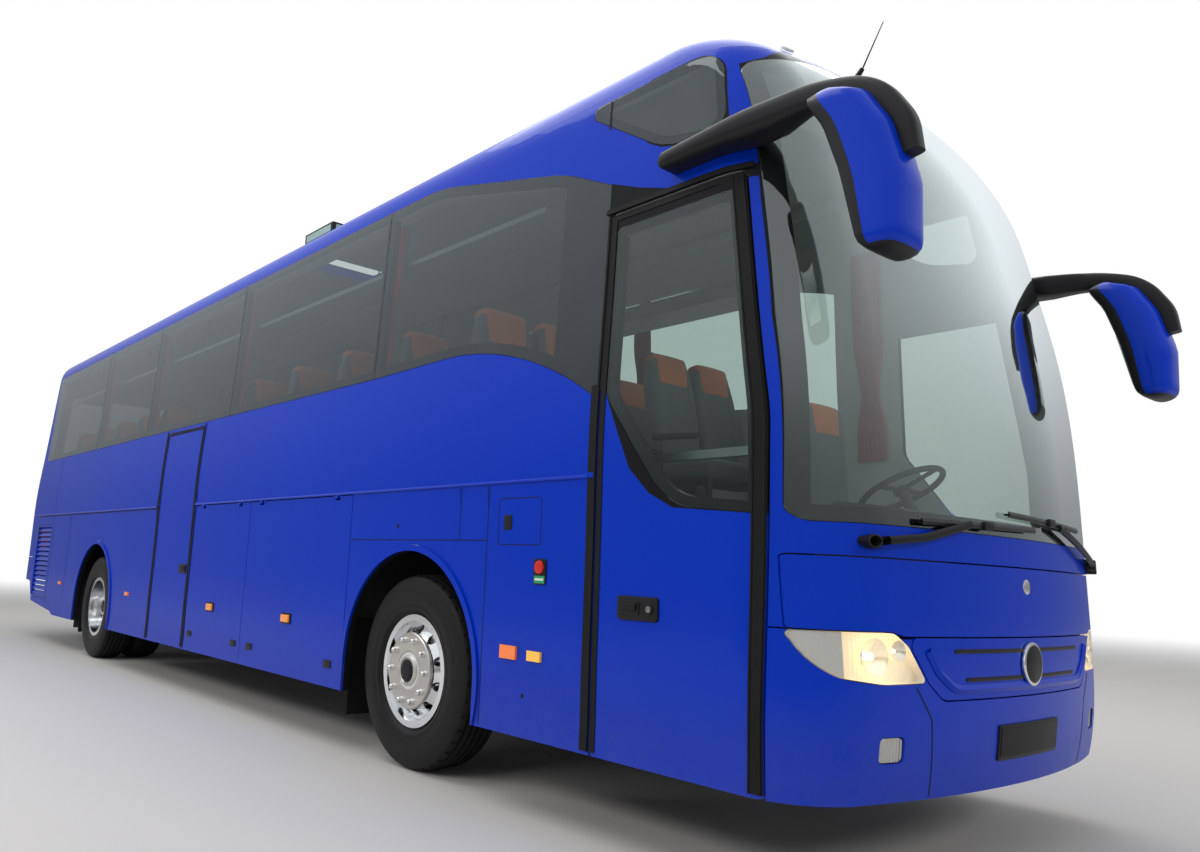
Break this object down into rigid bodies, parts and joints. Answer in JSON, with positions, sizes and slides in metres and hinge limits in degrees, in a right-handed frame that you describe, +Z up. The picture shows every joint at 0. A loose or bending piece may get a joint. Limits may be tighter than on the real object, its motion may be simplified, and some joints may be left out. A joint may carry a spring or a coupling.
{
  "type": "coach bus",
  "caption": "High-floor touring coach: hollow glazed body on two axles, with swing-out doors, luggage flaps, steered front wheels and twin rear wheels.",
  "frame": {"origin": "on the ground, at the middle of the overall box", "axes": "+Z up; the front faces -Y, so the length runs along Y; the passenger doors are on the -X side"},
  "size_m": [2.854, 12.3735, 3.7978],
  "materials": {
    "body_paint": "gloss",
    "underbody": "matt",
    "floor_covering": "matt",
    "tinted_glass": "gloss",
    "clear_glass": "gloss",
    "lamp_glass": "gloss",
    "red_lens": "gloss",
    "amber_lens": "gloss",
    "black_plastic": "satin",
    "dark_plastic": "matt",
    "rubber_sheet": "matt",
    "tyre": "matt",
    "wheel_alloy": "polished",
    "axle_iron": "matt",
    "engine_iron": "matt",
    "door_steel": "satin",
    "seat_cloth": "woven",
    "curtain_cloth": "woven"
  },
  "bodies": {
    "coach": {"underframe": "underbody", "saloon_floor": "floor_covering", "side_wall_right": "body_paint", "side_wall_left": "body_paint", "roof": "body_paint", "front_panel": "body_paint", "service_flap": "body_paint", "front_grille": "body_paint", "rear_panel": "body_paint", "bumpers": "body_paint", "windscreen": "clear_glass", "rear_window": "tinted_glass", "side_windows": "tinted_glass", "headlamps": "lamp_glass", "tail_lamps": "red_lens", "marker_lamps": "amber_lens", "side_grilles": "black_plastic", "mud_flaps": "rubber_sheet", "wipers": "black_plastic", "mirror_arms": "black_plastic", "mirror_heads": "body_paint", "air_conditioner": "body_paint", "engine": "engine_iron", "front_axle": "axle_iron", "rear_axle": "axle_iron", "dashboard": "dark_plastic", "seats": "seat_cloth", "luggage_racks": "dark_plastic", "curtains": "curtain_cloth"},
    "knuckle_right": {"knuckle_right": "axle_iron"},
    "knuckle_left": {"knuckle_left": "axle_iron"},
    "front_wheel_right": {"tyre_front_right": "tyre", "rim_front_right": "wheel_alloy"},
    "front_wheel_left": {"tyre_front_left": "tyre", "rim_front_left": "wheel_alloy"},
    "rear_wheel_right": {"tyres_rear_right": "tyre", "rims_rear_right": "wheel_alloy"},
    "rear_wheel_left": {"tyres_rear_left": "tyre", "rims_rear_left": "wheel_alloy"},
    "front_door_swing": {"front_door_arms": "door_steel"},
    "front_door": {"front_door_leaf": "body_paint", "front_door_glass": "clear_glass"},
    "middle_door_swing": {"middle_door_arms": "door_steel"},
    "middle_door": {"middle_door_leaf": "body_paint"},
    "engine_lid": {"engine_door": "body_paint"},
    "hatch": {"roof_hatch": "dark_plastic"},
    "steering_wheel": {"steering_wheel": "black_plastic"},
    "luggage_right_front": {"luggage_flap_right_front": "body_paint"},
    "luggage_right_rear": {"luggage_flap_right_rear": "body_paint"},
    "luggage_left_front": {"luggage_flap_left_front": "body_paint"},
    "luggage_left_rear": {"luggage_flap_left_rear": "body_paint"}
  },
  "joints": [
    {"name": "steer_right", "type": "hinge", "parent": "coach", "child": "knuckle_right", "pos_m": [-0.9, -3.19325, 0.522], "axis": [0, 0, 1], "range_deg": [-42, 42]},
    {"name": "steer_left", "type": "hinge", "parent": "coach", "child": "knuckle_left", "pos_m": [0.9, -3.19325, 0.522], "axis": [0, 0, 1], "range_deg": [-42, 42]},
    {"name": "spin_front_right", "type": "hinge", "parent": "knuckle_right", "child": "front_wheel_right", "pos_m": [-1.09, -3.19325, 0.522], "axis": [1, 0, 0], "continuous": true},
    {"name": "spin_front_left", "type": "hinge", "parent": "knuckle_left", "child": "front_wheel_left", "pos_m": [1.09, -3.19325, 0.522], "axis": [1, 0, 0], "continuous": true},
    {"name": "spin_rear_right", "type": "hinge", "parent": "coach", "child": "rear_wheel_right", "pos_m": [-0.923, 2.89675, 0.522], "axis": [1, 0, 0], "continuous": true},
    {"name": "spin_rear_left", "type": "hinge", "parent": "coach", "child": "rear_wheel_left", "pos_m": [0.923, 2.89675, 0.522], "axis": [1, 0, 0], "continuous": true},
    {"name": "steering_wheel_turn", "type": "hinge", "parent": "coach", "child": "steering_wheel", "pos_m": [0.62, -5.05325, 1.61], "axis": [0, 0.4695, 0.8829], "range_deg": [-840, 840]},
    {"name": "front_door_open", "type": "hinge", "parent": "coach", "child": "front_door_swing", "pos_m": [-1.09, -5.45325, 1], "axis": [0, 0, 1], "range_deg": [0, 100]},
    {"name": "front_door_leaf_turn", "type": "hinge", "parent": "front_door_swing", "child": "front_door", "pos_m": [-1.09, -4.83325, 1], "axis": [0, 0, 1], "range_deg": [-100, 0]},
    {"name": "middle_door_open", "type": "hinge", "parent": "coach", "child": "middle_door_swing", "pos_m": [-1.09, 0.96575, 1], "axis": [0, 0, -1], "range_deg": [0, 100]},
    {"name": "middle_door_leaf_turn", "type": "hinge", "parent": "middle_door_swing", "child": "middle_door", "pos_m": [-1.09, 0.34575, 1], "axis": [0, 0, -1], "range_deg": [-100, 0]},
    {"name": "engine_lid_open", "type": "hinge", "parent": "coach", "child": "engine_lid", "pos_m": [0, 6.16584, 1.76], "axis": [1, 0, 0], "range_deg": [0, 85]},
    {"name": "hatch_lower", "type": "slide", "parent": "coach", "child": "hatch", "axis": [0, 0, 1], "range_m": [-0.1, 0]},
    {"name": "luggage_right_front_open", "type": "hinge", "parent": "coach", "child": "luggage_right_front", "pos_m": [-1.275, -1.75025, 1.503], "axis": [0, 1, 0], "range_deg": [0, 88]},
    {"name": "luggage_right_rear_open", "type": "hinge", "parent": "coach", "child": "luggage_right_rear", "pos_m": [-1.275, -0.42825, 1.503], "axis": [0, 1, 0], "range_deg": [0, 88]},
    {"name": "luggage_left_front_open", "type": "hinge", "parent": "coach", "child": "luggage_left_front", "pos_m": [1.275, -1.33825, 1.503], "axis": [0, -1, 0], "range_deg": [0, 88]},
    {"name": "luggage_left_rear_open", "type": "hinge", "parent": "coach", "child": "luggage_left_rear", "pos_m": [1.275, 1.00175, 1.503], "axis": [0, -1, 0], "range_deg": [0, 88]}
  ],
  "couplings": [
    {"joint": "steer_left", "follows": "steer_right", "ratio": 1},
    {"joint": "steering_wheel_turn", "follows": "steer_right", "ratio": 20},
    {"joint": "front_door_leaf_turn", "follows": "front_door_open", "ratio": -1},
    {"joint": "middle_door_leaf_turn", "follows": "middle_door_open", "ratio": -1}
  ]
}
